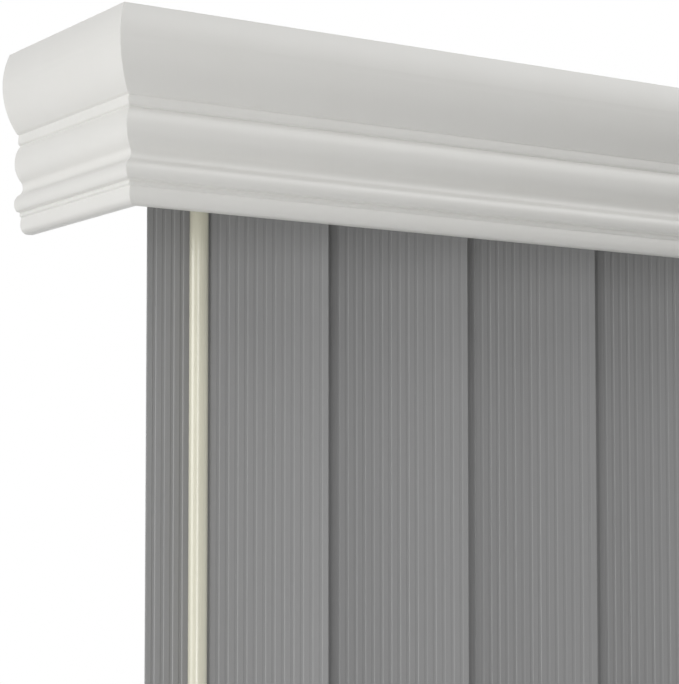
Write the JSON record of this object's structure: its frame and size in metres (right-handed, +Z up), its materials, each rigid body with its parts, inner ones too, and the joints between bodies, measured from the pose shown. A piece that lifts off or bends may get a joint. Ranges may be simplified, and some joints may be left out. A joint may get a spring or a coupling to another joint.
{
  "type": "vertical blind",
  "caption": "Wand-operated vertical blind: bowed, finely grooved vanes on sliding carriers in a slotted headrail, behind a mitred crown-moulded valance on wall brackets.",
  "frame": {"origin": "middle of the four screw holes in the wall brackets, on the wall's face", "axes": "+X along the headrail, away from the wand's end, +Y into the wall, +Z up"},
  "size_m": [0.69, 0.123, 0.914],
  "materials": {
    "valance": "satin off-white moulding",
    "vane": "satin grey, finely grooved",
    "wand": "gloss ivory",
    "rail": "white-coated channel",
    "rod": "plain drawn bar",
    "moulded": "white moulded plastic",
    "clear_clip": "pale translucent plastic",
    "bracket": "white-coated steel",
    "spring_steel": "bright spring steel"
  },
  "bodies": {
    "frame": {"headrail": "rail", "end_cap_left": "moulded", "end_cap_right": "moulded", "wall_bracket_left": "bracket", "wall_bracket_right": "bracket", "rail_clip_left": "spring_steel", "rail_clip_right": "spring_steel", "clip_rivets": "spring_steel", "valance_front": "valance", "valance_return_left": "valance", "valance_return_right": "valance", "corner_key_left": "moulded", "corner_key_right": "moulded", "valance_clip_1": "clear_clip", "valance_clip_2": "clear_clip", "valance_clip_3": "clear_clip", "carrier_7": "moulded", "spacer_link_7": "spring_steel"},
    "rod": {"tilt_rod": "rod"},
    "carriage_1": {"carrier_1": "moulded"},
    "carriage_2": {"carrier_2": "moulded", "spacer_link_2": "spring_steel"},
    "carriage_3": {"carrier_3": "moulded", "spacer_link_3": "spring_steel"},
    "carriage_4": {"carrier_4": "moulded", "spacer_link_4": "spring_steel"},
    "carriage_5": {"carrier_5": "moulded", "spacer_link_5": "spring_steel"},
    "carriage_6": {"carrier_6": "moulded", "spacer_link_6": "spring_steel"},
    "vane_unit_1": {"vane_stem_1": "moulded", "vane_1": "vane"},
    "worm_unit_1": {"worm_1": "moulded"},
    "vane_unit_2": {"vane_stem_2": "moulded", "vane_2": "vane"},
    "worm_unit_2": {"worm_2": "moulded"},
    "vane_unit_3": {"vane_stem_3": "moulded", "vane_3": "vane"},
    "worm_unit_3": {"worm_3": "moulded"},
    "vane_unit_4": {"vane_stem_4": "moulded", "vane_4": "vane"},
    "worm_unit_4": {"worm_4": "moulded"},
    "vane_unit_5": {"vane_stem_5": "moulded", "vane_5": "vane"},
    "worm_unit_5": {"worm_5": "moulded"},
    "vane_unit_6": {"vane_stem_6": "moulded", "vane_6": "vane"},
    "worm_unit_6": {"worm_6": "moulded"},
    "vane_unit_7": {"vane_stem_7": "moulded", "vane_7": "vane"},
    "worm_unit_7": {"worm_7": "moulded"},
    "wand_worm_unit": {"wand_worm": "moulded"},
    "wand_spindle": {"wand_stem": "moulded"},
    "wand": {"wand_hook": "spring_steel", "wand_cap": "wand", "wand_tube": "wand", "wand_grip": "wand"}
  },
  "joints": [
    {"name": "traverse", "type": "slide", "parent": "frame", "child": "carriage_1", "axis": [1, 0, 0], "range_m": [0, 0.387]},
    {"name": "traverse_2", "type": "slide", "parent": "frame", "child": "carriage_2", "axis": [1, 0, 0], "range_m": [0, 0.3226]},
    {"name": "traverse_3", "type": "slide", "parent": "frame", "child": "carriage_3", "axis": [1, 0, 0], "range_m": [0, 0.2581]},
    {"name": "traverse_4", "type": "slide", "parent": "frame", "child": "carriage_4", "axis": [1, 0, 0], "range_m": [0, 0.1936]},
    {"name": "traverse_5", "type": "slide", "parent": "frame", "child": "carriage_5", "axis": [1, 0, 0], "range_m": [0, 0.1291]},
    {"name": "traverse_6", "type": "slide", "parent": "frame", "child": "carriage_6", "axis": [1, 0, 0], "range_m": [0, 0.0646]},
    {"name": "tilt", "type": "hinge", "parent": "carriage_1", "child": "vane_unit_1", "pos_m": [-0.249, -0.0575, -0.0043], "axis": [0, 0, -1], "range_deg": [0, 135]},
    {"name": "worm_spin_1", "type": "hinge", "parent": "carriage_1", "child": "worm_unit_1", "pos_m": [-0.249, -0.0476, -0.0043], "axis": [1, 0, 0], "range_deg": [0, 1081]},
    {"name": "tilt_2", "type": "hinge", "parent": "carriage_2", "child": "vane_unit_2", "pos_m": [-0.166, -0.0575, -0.0043], "axis": [0, 0, -1], "range_deg": [0, 135.1]},
    {"name": "worm_spin_2", "type": "hinge", "parent": "carriage_2", "child": "worm_unit_2", "pos_m": [-0.166, -0.0476, -0.0043], "axis": [1, 0, 0], "range_deg": [0, 1081]},
    {"name": "tilt_3", "type": "hinge", "parent": "carriage_3", "child": "vane_unit_3", "pos_m": [-0.083, -0.0575, -0.0043], "axis": [0, 0, -1], "range_deg": [0, 135.1]},
    {"name": "worm_spin_3", "type": "hinge", "parent": "carriage_3", "child": "worm_unit_3", "pos_m": [-0.083, -0.0476, -0.0043], "axis": [1, 0, 0], "range_deg": [0, 1081]},
    {"name": "tilt_4", "type": "hinge", "parent": "carriage_4", "child": "vane_unit_4", "pos_m": [0, -0.0575, -0.0043], "axis": [0, 0, -1], "range_deg": [0, 135.1]},
    {"name": "worm_spin_4", "type": "hinge", "parent": "carriage_4", "child": "worm_unit_4", "pos_m": [0, -0.0476, -0.0043], "axis": [1, 0, 0], "range_deg": [0, 1081]},
    {"name": "tilt_5", "type": "hinge", "parent": "carriage_5", "child": "vane_unit_5", "pos_m": [0.083, -0.0575, -0.0043], "axis": [0, 0, -1], "range_deg": [0, 135.1]},
    {"name": "worm_spin_5", "type": "hinge", "parent": "carriage_5", "child": "worm_unit_5", "pos_m": [0.083, -0.0476, -0.0043], "axis": [1, 0, 0], "range_deg": [0, 1081]},
    {"name": "tilt_6", "type": "hinge", "parent": "carriage_6", "child": "vane_unit_6", "pos_m": [0.166, -0.0575, -0.0043], "axis": [0, 0, -1], "range_deg": [0, 135.1]},
    {"name": "worm_spin_6", "type": "hinge", "parent": "carriage_6", "child": "worm_unit_6", "pos_m": [0.166, -0.0476, -0.0043], "axis": [1, 0, 0], "range_deg": [0, 1081]},
    {"name": "tilt_7", "type": "hinge", "parent": "frame", "child": "vane_unit_7", "pos_m": [0.249, -0.0575, -0.0043], "axis": [0, 0, -1], "range_deg": [0, 135.1]},
    {"name": "worm_spin_7", "type": "hinge", "parent": "frame", "child": "worm_unit_7", "pos_m": [0.249, -0.0476, -0.0043], "axis": [1, 0, 0], "range_deg": [0, 1081]},
    {"name": "rod_spin", "type": "hinge", "parent": "frame", "child": "rod", "pos_m": [0, -0.0476, -0.0043], "axis": [1, 0, 0], "range_deg": [0, 1081]},
    {"name": "wand_worm_spin", "type": "hinge", "parent": "carriage_1", "child": "wand_worm_unit", "pos_m": [-0.271, -0.0476, -0.0043], "axis": [1, 0, 0], "range_deg": [0, 1081]},
    {"name": "wand_spin", "type": "hinge", "parent": "carriage_1", "child": "wand_spindle", "pos_m": [-0.271, -0.06, -0.0043], "axis": [0, 0, -1], "range_deg": [0, 1081]},
    {"name": "wand_swing", "type": "hinge", "parent": "wand_spindle", "child": "wand", "pos_m": [-0.271, -0.06, -0.024], "axis": [0, 1, 0], "range_deg": [0, 40]}
  ],
  "couplings": [
    {"joint": "traverse_2", "follows": "traverse", "ratio": 0.83333},
    {"joint": "traverse_3", "follows": "traverse", "ratio": 0.66667},
    {"joint": "traverse_4", "follows": "traverse", "ratio": 0.5},
    {"joint": "traverse_5", "follows": "traverse", "ratio": 0.33333},
    {"joint": "traverse_6", "follows": "traverse", "ratio": 0.16667},
    {"joint": "worm_spin_1", "follows": "tilt", "ratio": 8},
    {"joint": "tilt_2", "follows": "tilt", "ratio": 1},
    {"joint": "worm_spin_2", "follows": "tilt", "ratio": 8},
    {"joint": "tilt_3", "follows": "tilt", "ratio": 1},
    {"joint": "worm_spin_3", "follows": "tilt", "ratio": 8},
    {"joint": "tilt_4", "follows": "tilt", "ratio": 1},
    {"joint": "worm_spin_4", "follows": "tilt", "ratio": 8},
    {"joint": "tilt_5", "follows": "tilt", "ratio": 1},
    {"joint": "worm_spin_5", "follows": "tilt", "ratio": 8},
    {"joint": "tilt_6", "follows": "tilt", "ratio": 1},
    {"joint": "worm_spin_6", "follows": "tilt", "ratio": 8},
    {"joint": "tilt_7", "follows": "tilt", "ratio": 1},
    {"joint": "worm_spin_7", "follows": "tilt", "ratio": 8},
    {"joint": "rod_spin", "follows": "tilt", "ratio": 8},
    {"joint": "wand_worm_spin", "follows": "tilt", "ratio": 8},
    {"joint": "wand_spin", "follows": "tilt", "ratio": 8}
  ]
}
